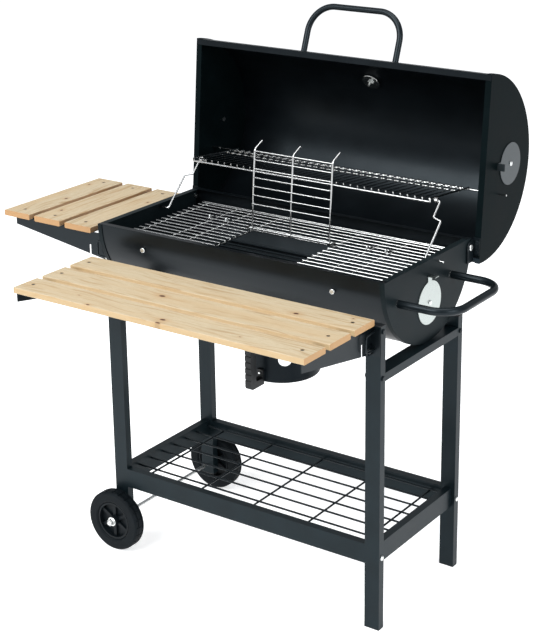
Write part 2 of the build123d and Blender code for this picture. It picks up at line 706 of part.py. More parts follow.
def leg_bolt(x, y, z):
    """Its head is on the leg's outer face and its nut on the inner one."""
    out = 1 if x > 0 else -1
    head = bolt((x + out * TUBE_W / 2, y, z), (out, 0, 0), 3, 6, 3.5, TUBE_W + 6)
    return [head, nut((x - out * TUBE_W / 2, y, z), (-out, 0, 0))]


def leg_bolts():
    """The bright bolts at the rails, and the painted ones above."""
    rails, upper = [], []
    for x in (LEFT_LEG_X, RIGHT_LEG_X):
        for y in (FRONT_LEG_Y, BACK_LEG_Y):
            rails += leg_bolt(x, y, RAIL_BOLT_Z)
            for z in upper_bolt_heights(y):
                upper += leg_bolt(x, y, z)
    return rails, upper


# ---- wheels ----
WHEEL_GAP = 6
FRONT_WHEEL_Y = FRONT_LEG_Y - TUBE_D / 2 - WHEEL_GAP - WHEEL_W / 2
BACK_WHEEL_Y = BACK_LEG_Y + TUBE_D / 2 + WHEEL_GAP + WHEEL_W / 2


def tyre():
    """A solid tyre about the Y axis with a tread of shallow blocks."""
    profile = Plane.XZ * Pos(WHEEL_R - 15, 0) * RectangleRounded(30, WHEEL_W, 7)
    ring_part = revolve(profile, Axis.Z)
    groove = Cylinder(WHEEL_R + 1, 2.4) - Cylinder(WHEEL_R - 2, 2.4)
    for z in (-7, 7):
        ring_part -= Pos(0, 0, z) * groove
    for k in range(24):
        notch = Pos(WHEEL_R, 0, 0) * Box(4, 3, WHEEL_W + 2)
        ring_part -= Rot(0, 0, 15 * k) * notch
    return Rot(90, 0, 0) * ring_part


def wheel_hub():
    """Dished wheel centre with six spokes, turning on the axle."""
    rim = Cylinder(WHEEL_R - 30.2, WHEEL_W - 6) - Cylinder(WHEEL_R - 35, WHEEL_W)
    core = Cylinder(14, WHEEL_W) - Cylinder(AXLE_R + RUN, WHEEL_W + 2)
    part = rim + core
    for k in range(6):
        spoke = Pos((WHEEL_R - 33 + 13) / 2, 0, 0) * Box(WHEEL_R - 45, 9, 16)
        part += Rot(0, 0, 60 * k + 30) * spoke
    web = Cylinder(WHEEL_R - 33, 4) - Cylinder(13, 6)
    return Rot(90, 0, 0) * (part + web)


def axle():
    y0 = FRONT_WHEEL_Y - WHEEL_W / 2 - 14
    y1 = BACK_WHEEL_Y + WHEEL_W / 2 + 14
    return rod((AXLE_X, y0, WHEEL_R), (AXLE_X, y1, WHEEL_R), AXLE_R)


def axle_hardware():
    """For each wheel: a spacer by the leg, a washer and a cap nut outside."""
    solids = []
    for y, out in ((FRONT_WHEEL_Y, -1), (BACK_WHEEL_Y, 1)):
        half = WHEEL_W / 2
        for start, end, radius in ((0.5, 2.5, 12), (-0.5, 0.2 - WHEEL_GAP, 9)):
            edge = half if start > 0 else -half
            a = (AXLE_X, y + out * (edge + start), WHEEL_R)
            b = (AXLE_X, y + out * (edge + end), WHEEL_R)
            solids.append(ring(a, b, radius, AXLE_R + HOLE))
        plane = Plane(origin=(AXLE_X, y + out * (half + 3), WHEEL_R), z_dir=(0, out, 0))
        cap = extrude(RegularPolygon(8, 6, major_radius=False), 7) + Pos(0, 0, 7) * Sphere(7)
        solids.append(plane * (cap - Pos(0, 0, 5.6) * Cylinder(AXLE_R + HOLE, 11.4)))
    return group(solids)


# ---- folding shelves ----
# A shelf is built with its hinge pin along X at the origin, its slats' length along X,
# and reaching out towards -Y. PLATES are its brackets, LEAN the side their flanges turn to.
FRONT_PIN = (0, FRONT_LEG_Y - TUBE_D / 2 - HINGE_OUT, FRONT_SHELF_Z - SLAT_T - HINGE_DROP)
SIDE_PIN = (-BOWL_HALF - HINGE_OUT, 0, SIDE_SHELF_Z - SLAT_T - HINGE_DROP)
FRONT = dict(plates=(-397, 411), lean=(1, -1), ends=(-402, 422), near=-10, width=82, gap=16,
             reach=262, slot=26)
SIDE = dict(plates=(-160, 152), lean=(-1, -1), ends=(-209, 165), near=46, width=88, gap=18,
            reach=316, slot=60)
PLATE_T = 2
CLIP_T = 2.5            # thickness of a clip's base
CLIP_Z = (-13, 52)      # its ends, from the pin
SCREW_IN = 20           # slat screws, from the bracket's plate
SCREW_R = 2
SCREW_HEAD_R = 4.5
SCREW_HEAD_H = 1.5
SCREW_SUNK = 0.3        # screw heads, below the boards' top
BAIL_R = 2
BAIL_IN = 11            # bail, from the bracket's plate


def slat_centres(shelf):
    """How far out the middle of each slat lies."""
    return [shelf["near"] + shelf["width"] / 2 + k * (shelf["width"] + shelf["gap"]) for k in range(3)]


def screw_places(shelf, centre):
    return [(p + side * SCREW_IN, -centre) for p, side in zip(shelf["plates"], shelf["lean"])]


def shelf_slat(shelf, centre):
    half = shelf["width"] / 2
    board = block(shelf["ends"], (-centre - half, half - centre), (HINGE_DROP, HINGE_DROP + SLAT_T))
    board = fillet(board.edges().filter_by(Axis.X), 2.5)
    for x, y in screw_places(shelf, centre):
        board -= shaft_hole((x, y, HINGE_DROP + SLAT_T / 2), (0, 0, 1), SCREW_R + HOLE, 9)
        depth = SCREW_HEAD_H + SCREW_SUNK
        board -= shaft_hole((x, y, HINGE_DROP + SLAT_T), (0, 0, 1), SCREW_HEAD_R + HOLE, depth)
    return board


def shelf_bracket(shelf, which):
    """A tapered plate with a flange under the slats, a slot below and a boss round the pin."""
    plate, side, reach = shelf["plates"][which], shelf["lean"][which], shelf["reach"]
    x0 = plate - PLATE_T / 2
    outline = [(10, HINGE_DROP), (-reach, HINGE_DROP), (-reach, HINGE_DROP - 22), (-3, -9.5), (10, 0)]
    part = plate_yz(outline, x0, PLATE_T)
    part += rod((x0, 0, 0), (x0 + PLATE_T, 0, 0), 10)
    flange = sorted((plate - side * PLATE_T / 2, plate + side * 32))
    inner = min(10, -shelf["near"] - 4)
    part += block(flange, (-reach, inner), (HINGE_DROP - PLATE_T, HINGE_DROP))
    part -= block((x0 - 1, x0 + PLATE_T + 1), (-shelf["slot"] - 3, 3 - shelf["slot"]), (-30, 24))
    part -= shaft_hole((plate, 0, 0), (1, 0, 0), PIN_R + RUN)
    for centre in slat_centres(shelf):
        x, y = screw_places(shelf, centre)[which]
        part -= shaft_hole((x, y, HINGE_DROP), (0, 0, 1), SCREW_R + HOLE)
    return part


def shelf_screws(shelf):
    solids = []
    for centre in slat_centres(shelf):
        for x, y in screw_places(shelf, centre):
            at = (x, y, HINGE_DROP + SLAT_T - SCREW_HEAD_H - SCREW_SUNK)
            grip = SLAT_T + PLATE_T + 3
            solids.append(bolt(at, (0, 0, 1), SCREW_R, SCREW_HEAD_R, SCREW_HEAD_H, grip))
            solids.append(nut((x, y, HINGE_DROP - PLATE_T), (0, 0, -1), 7, 3.2, SCREW_R))
    return group(solids)


def shelf_clip(plate, base, bolts):
    """A base on the stand with two ears, one each side of the bracket's plate."""
    part = block(base, (HINGE_OUT - CLIP_T, HINGE_OUT), CLIP_Z)
    for ear in (plate - PLATE_T / 2 - 2.5, plate + PLATE_T / 2 + 0.5):
        part += block((ear, ear + 2), (0, HINGE_OUT - 1), (-11, 11))
        part += rod((ear, 0, 0), (ear + 2, 0, 0), 11)
        part -= shaft_hole((ear + 1, 0, 0), (1, 0, 0), PIN_R + RUN, 1.2)
    for x, z in bolts:
        part -= shaft_hole((x, HINGE_OUT, z), (0, 1, 0), 2.5 + HOLE)
    return part


def shelf_pin(plate):
    """A headed pin, upset at its far end, through the clip's ears."""
    pin = rod((plate - 6.5, 0, 0), (plate + 6.5, 0, 0), PIN_R)
    for a, b in ((-6.5, -4), (4, 6.5)):
        pin += rod((plate + a, 0, 0), (plate + b, 0, 0), 5.5)
    return pin


def bail(x):
    """A D-shaped wire loop that stands out from a clip's base beside the bracket."""
    low, high, out = 3, 46, -25
    foot = HINGE_OUT - CLIP_T / 2
    return wire([(x, foot, high), (x, out, high - 3), (x, out, low), (x, foot, low)], BAIL_R, 7)


def shelf_clip_set(shelf, bases, bolts, outward):
    """Clips with their bails and pins for one shelf."""
    clips = []
    for plate, base, places, out in zip(shelf["plates"], bases, bolts, outward):
        clips += [shelf_clip(plate, base, places) + bail(plate + out * BAIL_IN)]
    return clips, [shelf_pin(plate) for plate in shelf["plates"]]


FRONT_BASES = ((-411, FRAME_X[0] - 3), (RIGHT_LEG_X - TUBE_W / 2 + 1, RIGHT_LEG_X + TUBE_W / 2 - 1))
FRONT_CLIP_BOLTS = [[(LEFT_LEG_X, z) for z in (0, 34)], [(402.4, z) for z in (-8, 34)]]
SIDE_BASES = ((-166, -140), (132, 158 + 8))
SIDE_CLIP_BOLTS = [[(-146, z) for z in (14, 34)], [(139, z) for z in (14, 34)]]


def place_front(part):
    return Pos(*FRONT_PIN) * part


def place_side(part):
    """Local -Y turns to -X, and local X to -Y."""
    return Pos(*SIDE_PIN) * Rot(0, 0, -90) * part


def side_clip_bolts():
    """Centres of the left clips' bolts on the bowl's left cap, as (Y, Z)."""
    return [(-x, SIDE_PIN[2] + z) for places in SIDE_CLIP_BOLTS for x, z in places]


def clip_bolts():
    front, side = [], []
    for made, bolts, grip in ((front, FRONT_CLIP_BOLTS, 10), (side, SIDE_CLIP_BOLTS, 9)):
        for places in bolts:
            for x, z in places:
                made.append(bolt((x, HINGE_OUT - CLIP_T, z), (0, -1, 0), 2.5, 4, 2.5, grip))
    return [place_front(b) for b in front] + [place_side(b) for b in side]


# ---- ash pot ----
POT_WALL = 1.2
COVER_TURN = -52        # the air hole's bearing on the pot, degrees from +X
COVER_Z = 547


def ash_collar():
    """A short sleeve whose top edge follows the barrel, with two lugs bolted under it."""
    sleeve = ring((0, 0, POT_TOP - 16), (0, 0, RIM_Z - 150), COLLAR_R + SHEET, COLLAR_R)
    floor_z = RIM_Z - BOWL_R
    for x in COLLAR_BOLT_X:
        side = 1 if x > 0 else -1
        lug = block(sorted((side * 79, side * (COLLAR_R + 0.5))), (-9, 9), (floor_z - 2, floor_z - 0.3))
        sleeve += lug - shaft_hole((x, 0, floor_z), (0, 0, 1), 3 + HOLE)
    return sleeve - rod((-POT_R * 2, 0, RIM_Z), (POT_R * 2, 0, RIM_Z), BOWL_R + 0.2)


def collar_bolts():
    floor_z = RIM_Z - BOWL_R
    solids = []
    for x in COLLAR_BOLT_X:
        solids.append(bolt((x, 0, floor_z + SHEET + 0.2), (0, 0, 1), 3, 6, 3.5, 10))
    return solids


def ash_pot():
    """A deep pressed pot with a rolled base edge, an air hole and a beaded mouth."""
    pot = rod((0, 0, POT_Z0), (0, 0, POT_TOP), POT_R)
    pot = fillet(pot.edges().group_by(Axis.Z)[0], 7)
    cavity = rod((0, 0, POT_Z0 + POT_WALL), (0, 0, POT_TOP + 1), POT_R - POT_WALL)
    cavity = fillet(cavity.edges().group_by(Axis.Z)[0], 7 - POT_WALL)
    pot -= cavity
    pot += Pos(0, 0, POT_TOP - 22) * Torus(POT_R + 1, 1.8)
    pot -= rod((0, 0, POT_TOP - 30), (0, 0, POT_TOP - 15), POT_R - POT_WALL)
    at = Rot(0, 0, COVER_TURN) * Pos(POT_R, 0, COVER_Z)
    pot -= at * Rot(0, 90, 0) * Cylinder(11, 8)
    for z in POT_SCREW_Z:
        pot -= shaft_hole((0, -POT_R, z), (0, 1, 0), 2.5 + HOLE)
    return pot


HANDLE_Z = (478, 602)   # ends of the pot's handle
HANDLE_OUT = -150       # its outer face
HANDLE_THICK = 22
HANDLE_ARM = 17
POT_SCREW_Z = (HANDLE_Z[0] + 30, HANDLE_Z[1] - 9)


def ash_pot_handle():
    """A moulded grip with finger ribs, on two arms against the pot's wall."""
    low, high = HANDLE_Z
    inner = HANDLE_OUT + HANDLE_THICK
    wall = -POT_R + 6
    outer = block((-9, 9), (HANDLE_OUT, wall), (low, high))
    outer = fillet(outer.edges().filter_by(Axis.X).sort_by(Axis.Y)[:2], 10)
    hole = block((-12, 12), (inner, wall + 5), (low + HANDLE_ARM, high - HANDLE_ARM))
    hole = fillet(hole.edges().filter_by(Axis.X).sort_by(Axis.Y)[:2], 6)
    part = outer - hole
    part += block((-9, 9), (-POT_R - 6, wall), (low + HANDLE_ARM - 1, low + HANDLE_ARM + 22))
    for k in range(5):
        z = low + 26 + 16 * k
        groove = rod((-10, HANDLE_OUT - 1.5, z), (10, HANDLE_OUT - 1.5, z), 3.2)
        part -= groove
    for z in POT_SCREW_Z:
        part -= shaft_hole((0, -POT_R, z), (0, 1, 0), 2.5 + HOLE, 12)
    part -= rod((0, 0, low - 5), (0, 0, high + 5), POT_R + 0.2)
    return part


def ash_pot_fixings():
    """The air hole's cover disc on its rivet, and the handle's screws."""
    at = Rot(0, 0, COVER_TURN) * Pos(POT_R + 0.6, 0, COVER_Z) * Rot(0, 90, 0)
    cover = at * (Cylinder(17, 1) + Pos(0, 0, 1) * Cylinder(5, 1.6))
    screws = [bolt((0, -POT_R + POT_WALL + 0.6, z), (0, 1, 0), 2.5, 4.5, 2, 11) for z in POT_SCREW_Z]
    return group([cover] + screws)


# ---- the whole grill ----
def warming_legs():
    return group([rack_leg(-1), rack_leg(1)])


def discs():
    """The four vent discs; the bowl's tabs point up and the lid's towards the cook."""
    bowl = Pos(0, *BOWL_VENT) * vent_disc(BOWL_HALF + 0.3, 0)
    lid = Rot(LID_TILT, 0, 0) * vent_disc(LID_HALF + 0.3, 90)
    left_lid = mirror_x(Rot(HALF_OPEN, 0, 0) * lid)
    return {
        "bowl_vent_left": mirror_x(bowl),
        "bowl_vent_right": bowl,
        "lid_vent_left": Pos(0, *LID_VENT) * left_lid,
        "lid_vent_right": Pos(0, *LID_VENT) * lid,
    }


def wheels():
    made = {}
    for name, y in (("front", FRONT_WHEEL_Y), ("back", BACK_WHEEL_Y)):
        place = Pos(AXLE_X, y, WHEEL_R)
        made["tyre_" + name] = place * tyre()
        made["hub_" + name] = place * wheel_hub()
    return made


def shelves():
    made = {}
    for name, shelf, place in (("front", FRONT, place_front), ("side", SIDE, place_side)):
        for k, centre in enumerate(slat_centres(shelf)):
            made["%s_slat_%d" % (name, k + 1)] = place(shelf_slat(shelf, centre))
        made[name + "_brackets"] = place(group([shelf_bracket(shelf, 0), shelf_bracket(shelf, 1)]))
        made[name + "_shelf_screws"] = place(shelf_screws(shelf))
    front = shelf_clip_set(FRONT, FRONT_BASES, FRONT_CLIP_BOLTS, (-1, 1))
    side = shelf_clip_set(SIDE, SIDE_BASES, SIDE_CLIP_BOLTS, (1, 1))
    made["shelf_clips"] = group([place_front(c) for c in front[0]] + [place_side(c) for c in side[0]])
    made["shelf_pins"] = group([place_front(c) for c in front[1]] + [place_side(c) for c in side[1]])
    return made


def stand():
    made = legs()
    rail_bolts, upper_bolts = leg_bolts()
    made.update({
        "leg_plugs": leg_plugs(),
        "braces": group([brace(LEFT_LEG_X), brace(RIGHT_LEG_X)]),
        "rail_front": long_rail(FRONT_LEG_Y),
        "rail_back": long_rail(BACK_LEG_Y),
        "side_rails": side_rails(),
        "lower_grid": lower_grid(),
        "rail_bolts": group(rail_bolts),
        "frame_bolts": group(upper_bolts + saddle_bolts() + clip_bolts()),
        "axle": axle(),
        "axle_hardware": axle_hardware(),
    })
    return made


def barrel():
    bowl_rivets = vent_rivets(BOWL_HALF, BOWL_VENT)
    return {
        "bowl_shell": bowl_shell(),
        "bowl_cap_left": bowl_cap_left(),
        "bowl_cap_right": bowl_cap_right(),
        "bowl_fixings": group(bowl_rivets + grate_bolts() + push_handle_bolts() + collar_bolts()),
        "grate_hooks": grate_hooks(),
        "charcoal_grate": charcoal_grate(),
        "push_handle": push_handle(),
        "hinge_pins": hinge_pins(),
        "ash_collar": ash_collar(),
        "ash_pot": ash_pot(),
        "ash_pot_handle": ash_pot_handle(),
        "ash_pot_fixings": ash_pot_fixings(),
        "cooking_grate": cooking_grate(),
        "grate_fittings": grate_fittings(),
        "grate_flap": grate_flap(),
        "warming_rack": warming_rack(),
        "rack_legs": warming_legs(),
    }


def lid():
    cap, plate = lid_cap(), hinge_plate()
    made = {
        "lid_shell": lid_shell(),
        "lid_cap_left": mirror_x(cap),
        "lid_cap_right": cap,
        "lid_handle": lid_handle(),
        "hinge_plates": group([mirror_x(plate), plate]),
        "hinge_screws": group(hinge_screws()),
        "lid_fixings": group(vent_rivets(LID_HALF, LID_VENT) + lid_handle_bolts()),
    }
    made.update(thermometer())
    return made


def centred():
    """The shift that puts the middle of the finished grill's footprint over the origin."""
    left = SIDE_PIN[0] - slat_centres(SIDE)[-1] - SIDE["width"] / 2
    right = PUSH_OUT + PUSH_R
    front = FRONT_PIN[1] - slat_centres(FRONT)[-1] - FRONT["width"] / 2
    back = LID_Y + LID_R + LIP_GAP + SHEET
    return Pos(-(left + right) / 2, -(front + back) / 2, 0)


nodes = {}
for assembly in (stand, wheels, barrel, lid, discs, shelves):
    nodes.update(assembly())

os.makedirs("parts", exist_ok=True)
for node, shape in nodes.items():
    export_step(centred() * shape, "parts/%s.step" % node)
print(len(nodes), "nodes, centred by", centred().position)
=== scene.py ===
"""Looks for the barrel charcoal grill: materials, small details, studio and camera. Metres, +Z up."""
import math

import bmesh
import bpy
from mathutils import Matrix, Vector


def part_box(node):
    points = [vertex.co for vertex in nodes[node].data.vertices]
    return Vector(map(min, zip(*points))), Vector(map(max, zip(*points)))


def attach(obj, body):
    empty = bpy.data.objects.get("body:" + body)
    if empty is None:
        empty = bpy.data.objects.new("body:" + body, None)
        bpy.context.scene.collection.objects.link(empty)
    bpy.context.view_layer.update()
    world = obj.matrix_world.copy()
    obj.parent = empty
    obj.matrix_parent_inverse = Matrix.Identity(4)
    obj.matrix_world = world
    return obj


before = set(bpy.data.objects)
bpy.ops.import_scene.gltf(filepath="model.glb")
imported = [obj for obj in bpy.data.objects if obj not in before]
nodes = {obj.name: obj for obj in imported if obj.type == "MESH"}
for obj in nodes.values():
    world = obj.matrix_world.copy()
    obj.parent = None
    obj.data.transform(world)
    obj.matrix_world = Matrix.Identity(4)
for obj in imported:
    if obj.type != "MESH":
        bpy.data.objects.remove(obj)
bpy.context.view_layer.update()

MM = 0.001
EVEN = (1, 1, 1)        # texture space with no stretch


# ---- shader helpers ----
class Shader:
    """A Principled material with short calls for the nodes that feed it."""

    def __init__(self, name):
        self.material = bpy.data.materials.new(name)
        self.material.use_nodes = True
        self.tree = self.material.node_tree
        self.bsdf = self.tree.nodes["Principled BSDF"]
        self.object_coords = self.add("ShaderNodeTexCoord").outputs["Object"]

    def add(self, kind, **values):
        node = self.tree.nodes.new(kind)
        for key, value in values.items():
            setattr(node, key, value)
        return node

    def link(self, output, node, socket):
        self.tree.links.new(output, node.inputs[socket])

    def set(self, socket, value):
        self.bsdf.inputs[socket].default_value = value

    def mapped(self, scale, location=(0, 0, 0)):
        node = self.add("ShaderNodeMapping")
        node.inputs["Scale"].default_value = scale
        node.inputs["Location"].default_value = location
        self.link(self.object_coords, node, "Vector")
        return node.outputs["Vector"]

    def noise(self, vector, scale, detail, roughness=0.55, distortion=0.0):
        node = self.add("ShaderNodeTexNoise")
        self.link(vector, node, "Vector")
        node.inputs["Scale"].default_value = scale
        node.inputs["Detail"].default_value = detail
        node.inputs["Roughness"].default_value = roughness
        node.inputs["Distortion"].default_value = distortion
        return node.outputs["Fac"]

    def ramp(self, value, stops):
        node = self.add("ShaderNodeValToRGB")
        elements = node.color_ramp.elements
        while len(elements) < len(stops):
            elements.new(0.5)
        for element, (place, color) in zip(elements, stops):
            element.position = place
            element.color = (*color, 1)
        self.link(value, node, "Fac")
        return node.outputs["Color"]

    def span(self, value, low, high, to_low, to_high):
        node = self.add("ShaderNodeMapRange")
        self.link(value, node, "Value")
        limits = {"From Min": low, "From Max": high, "To Min": to_low, "To Max": to_high}
        for socket, number in limits.items():
            node.inputs[socket].default_value = number
        return node.outputs["Result"]

    def math(self, operation, a, b=None):
        node = self.add("ShaderNodeMath", operation=operation)
        for socket, value in ((0, a), (1, b)):
            if value is None:
                continue
            if isinstance(value, (int, float)):
                node.inputs[socket].default_value = value
            else:
                self.link(value, node, socket)
        return node.outputs["Value"]

    def mix(self, factor, a, b):
        node = self.add("ShaderNodeMix", data_type="RGBA")
        for socket, value in ((0, factor), (6, a), (7, b)):
            if isinstance(value, tuple):
                node.inputs[socket].default_value = (*value, 1)
            elif isinstance(value, (int, float)):
                node.inputs[socket].default_value = value
            else:
                self.tree.links.new(value, node.inputs[socket])
        return node.outputs[2]

    def bump(self, height, distance, strength):
        node = self.add("ShaderNodeBump")
        node.inputs["Distance"].default_value = distance
        node.inputs["Strength"].default_value = strength
        self.link(height, node, "Height")
        self.link(node.outputs["Normal"], self.bsdf, "Normal")


# ---- materials ----
COLD = (0.74, 0.90, 1.0, 1)     # the paints' blue-grey sheen
ENAMEL_CLOUD = 14               # texture scales: soft clouding, caught dust, orange peel
ENAMEL_DUST = 420
ENAMEL_PEEL = 700
PEEL_HEIGHT = 0.12 * MM
COAT_ROUGH = 0.16
# painted highlight: a bluish grey laid on the lid's lower corners, where its edge catches the light
CORNER_HIGHLIGHT_GREY = (0.022, 0.032, 0.040)
CORNER_FADE = (2.4 * MM, 1.8 * MM)  # how far inside the lid's lower corners their painted highlight begins, and is full
CORNER_SLOPE = math.radians(5)      # that depth is measured along a line this far below level


def paint(name, color, rough, coat, specular, corner=None):
    """Stove enamel: orange peel, faint clouding in colour and gloss, and a painted highlight, bluish grey, on
    the lid's lower corners.
    """
    s = Shader(name)
    s.set("Specular IOR Level", specular)
    s.set("Specular Tint", COLD)
    cloud = s.noise(s.mapped(EVEN), ENAMEL_CLOUD, 5)
    speck = s.noise(s.mapped(EVEN), ENAMEL_DUST, 3)
    dark = tuple(c * 0.82 for c in color)
    light = tuple(c * 1.25 for c in color)
    base = s.ramp(cloud, [(0.35, dark), (0.68, light)])
    dust = s.span(speck, 0.6, 0.8, 0.0, 0.10)
    base = s.mix(dust, base, tuple(c * 3 + 0.004 for c in color))
    if corner:
        direction, tip = corner
        depth = s.add("ShaderNodeVectorMath", operation="DOT_PRODUCT")
        s.link(s.object_coords, depth, 0)
        depth.inputs[1].default_value = direction
        begins, full = (tip - inside for inside in CORNER_FADE)
        corner_highlight = s.span(depth.outputs["Value"], begins, full, 0.0, 1.0)
        # painted highlight: the lid's lower corners turn bluish grey
        base = s.mix(corner_highlight, base, CORNER_HIGHLIGHT_GREY)
    s.link(base, s.bsdf, "Base Color")
    s.link(s.span(cloud, 0.3, 0.7, rough - 0.035, rough + 0.05), s.bsdf, "Roughness")
    s.set("Coat Weight", coat)
    s.set("Coat Roughness", COAT_ROUGH)
    s.bump(s.noise(s.mapped(EVEN), ENAMEL_PEEL, 2), PEEL_HEIGHT, 0.35)
    return s.material


POLISH_SCALE = 900
POLISH_HEIGHT = 0.06 * MM


def metal(name, color, rough, spread=0.06, scale=90, stretch=EVEN):
    """Plated metal with slight clouding and fine polishing marks."""
    s = Shader(name)
    s.set("Metallic", 1.0)
    cloud = s.noise(s.mapped(EVEN), scale, 4)
    marks = s.noise(s.mapped(stretch), POLISH_SCALE, 3)
    base = s.ramp(cloud, [(0.3, tuple(c * 0.9 for c in color)), (0.7, color)])
    s.link(base, s.bsdf, "Base Color")
    s.link(s.span(cloud, 0.3, 0.7, rough - spread, rough + spread), s.bsdf, "Roughness")
    s.bump(marks, POLISH_HEIGHT, 0.3)
    return s.material


MOULD_CLOUD = 30
MOULD_GRAIN = 500


def plastic(name, color, rough, grain=MOULD_GRAIN, height=0.15 * MM, specular=0.4):
    """Moulded plastic or rubber with a fine spark-eroded texture."""
    s = Shader(name)
    s.set("Specular IOR Level", specular)
    cloud = s.noise(s.mapped(EVEN), MOULD_CLOUD, 4)
    fine = s.noise(s.mapped(EVEN), grain, 3)
    dark = tuple(c * 0.85 for c in color)
    light = tuple(c * 1.3 for c in color)
    s.link(s.ramp(cloud, [(0.3, dark), (0.75, light)]), s.bsdf, "Base Color")
    s.link(s.span(fine, 0.3, 0.7, rough - 0.08, rough + 0.08), s.bsdf, "Roughness")
    s.bump(fine, height, 0.5)
    return s.material


WOOD_SEED = 3.7                 # each board's grain starts this much further along the noise
PINE_PALE = (0.435, 0.358, 0.238)
PINE_LIGHTEST = (0.465, 0.390, 0.268)
PINE_HONEY = (0.345, 0.246, 0.136)
PINE_TAN = (0.420, 0.295, 0.160)
PINE_BROWN = (0.22, 0.125, 0.055)
PINE_END_GRAIN_SHADE = (0.40, 0.225, 0.098)     # end grain, darker still with painted shade
KNOT_RING = (0.34, 0.195, 0.085)
KNOT_CORE = (0.075, 0.028, 0.012)
GRAIN_STRETCH = 0.06            # the grain's scale along a board
GRAIN_SWAY = 0.012              # how far the growth lines wander to the side
GRAIN_LINES = 105               # texture scales: growth lines, fibres, broad tone
GRAIN_FIBRES = 900
GRAIN_BROAD = 22
KNOT_SQUEEZE = 0.62             # knots are longer along the board
KNOT_RINGS = 2400               # ring ripple per metre, in radians
PINE_RELIEF = 0.5 * MM


def pine_grain(s, along, offset):
    """The noise values of growth lines, fibres and broad tone, stretched along the board."""
    stretch = (GRAIN_STRETCH, 1, 1) if along == "X" else (1, GRAIN_STRETCH, 1)
    place = s.mapped(EVEN, location=(offset, offset * 0.37, offset * 0.9))
    sway = s.noise(s.mapped((0.6, 0.6, 0.6), location=(offset, 0, 0)), 6, 2)
    long = s.add("ShaderNodeMapping")
    long.inputs["Scale"].default_value = stretch
    s.link(place, long, "Vector")
    warped = s.add("ShaderNodeVectorMath", operation="ADD")
    s.link(long.outputs["Vector"], warped, 0)
    push = s.add("ShaderNodeCombineXYZ")
    bend = s.span(sway, 0.3, 0.7, -GRAIN_SWAY, GRAIN_SWAY)
    s.link(bend, push, "Y" if along == "X" else "X")
    s.link(push.outputs["Vector"], warped, 1)
    lines = s.noise(warped.outputs["Vector"], GRAIN_LINES, 2.5, 0.5, 0.35)
    fibres = s.noise(long.outputs["Vector"], GRAIN_FIBRES, 3, 0.6)
    broad = s.noise(long.outputs["Vector"], GRAIN_BROAD, 2)
    return lines, fibres, broad


def pine_knot(s, color, split, lines, along, knot):
    """Adds one knot, a dark core with fading rings, to a board's colour."""
    knot_x, knot_y, size = knot
    squeeze_x, squeeze_y = (KNOT_SQUEEZE, 1.0) if along == "X" else (1.0, KNOT_SQUEEZE)
    dx = s.math("MULTIPLY", s.math("SUBTRACT", split.outputs["X"], knot_x), squeeze_x)
    dy = s.math("MULTIPLY", s.math("SUBTRACT", split.outputs["Y"], knot_y), squeeze_y)
    reach = s.math("SQRT", s.math("ADD", s.math("MULTIPLY", dx, dx), s.math("MULTIPLY", dy, dy)))
    reach = s.math("ADD", reach, s.math("MULTIPLY", s.math("SUBTRACT", lines, 0.5), size * 0.35))
    rings = s.math("SINE", s.math("MULTIPLY", reach, KNOT_RINGS))
    fade = s.span(reach, size, size * 3.6, 1.0, 0.0)
    ripple = s.math("MULTIPLY", s.span(rings, -1, 1, 0.15, 0.75), fade)
    color = s.mix(ripple, color, KNOT_RING)
    core = s.span(reach, size * 0.7, size * 1.05, 1.0, 0.0)
    return s.mix(core, color, KNOT_CORE)


def pine(name, along, offset, knots, edge_shade):
    """Sanded pine: growth lines along the board, pale fibres, knots, painted shade on the edges, and end
    grain darkened with painted shade too.
    """
    s = Shader(name)
    lines, fibres, broad = pine_grain(s, along, offset)
    color = s.ramp(lines, [(0.34, PINE_HONEY), (0.44, PINE_PALE), (0.58, PINE_LIGHTEST), (0.68, PINE_HONEY)])
    color = s.mix(s.span(fibres, 0.35, 0.75, 0.0, 0.32), color, PINE_BROWN)
    color = s.mix(s.span(broad, 0.42, 0.7, 0.0, 0.50), color, PINE_TAN)
    split = s.add("ShaderNodeSeparateXYZ")
    s.link(s.object_coords, split, "Vector")
    for knot in knots:
        color = pine_knot(s, color, split, lines, along, knot)
    facing = s.add("ShaderNodeSeparateXYZ")
    coords = s.add("ShaderNodeTexCoord")
    s.link(coords.outputs["Normal"], facing, "Vector")
    flat = s.math("ABSOLUTE", facing.outputs["Z"])
    # painted shade: faces turned away from straight up darken towards the edge shade
    color = s.mix(s.span(flat, 0.15, 0.8, 0.72, 0.0), color, edge_shade)
    end = s.math("ABSOLUTE", facing.outputs[along])
    # end grain and painted shade: faces across the board darken towards the end colour
    color = s.mix(s.span(end, 0.6, 0.95, 0.0, 0.85), color, PINE_END_GRAIN_SHADE)
    s.link(color, s.bsdf, "Base Color")
    s.link(s.span(fibres, 0.3, 0.7, 0.48, 0.66), s.bsdf, "Roughness")
    s.set("Specular IOR Level", 0.35)
    height = s.math("ADD", s.math("MULTIPLY", lines, 0.6), s.math("MULTIPLY", fibres, 0.4))
    s.bump(height, PINE_RELIEF, 0.45)
    return s.material


def glass(name):
    """Clear glass with faint smears."""
    s = Shader(name)
    s.set("Base Color", (0.95, 0.98, 0.98, 1))
    s.set("Transmission Weight", 1.0)
    s.set("IOR", 1.46)
    smear = s.noise(s.mapped(EVEN), 60, 2)
    s.link(s.span(smear, 0.3, 0.7, 0.0, 0.03), s.bsdf, "Roughness")
    return s.material


def lid_corner():
    """The forward and slightly downward direction of the open lid's lower corners, and how far they reach."""
    forward = Vector((0, -math.cos(CORNER_SLOPE), -math.sin(CORNER_SLOPE)))
    return forward, max(vertex.co.dot(forward) for vertex in nodes["lid_cap_right"].data.vertices)


